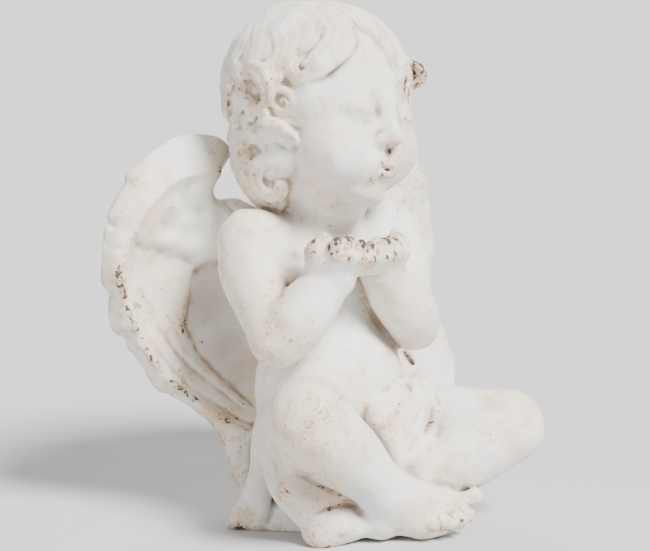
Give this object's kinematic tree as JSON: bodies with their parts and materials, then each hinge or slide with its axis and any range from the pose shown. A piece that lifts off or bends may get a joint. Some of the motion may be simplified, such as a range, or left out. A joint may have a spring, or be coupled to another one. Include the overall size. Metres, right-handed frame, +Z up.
{
  "type": "angel figurine",
  "caption": "Seated winged cherub figurine with curly hair, crossed legs and cupped hands held below the chin, cast in one piece with a loin cloth and a cloth mound.",
  "frame": {"origin": "on the flat underside, below the trunk", "axes": "+Z up, the figure faces -Y, its right side is at -X"},
  "size_m": [0.2453, 0.1559, 0.3007],
  "materials": {
    "painted_casting": "matt antique white paint on a casting, rubbed with brown in the creases and chipped on the edges"
  },
  "bodies": {
    "root": {"cherub": "painted_casting"}
  },
  "joints": []
}
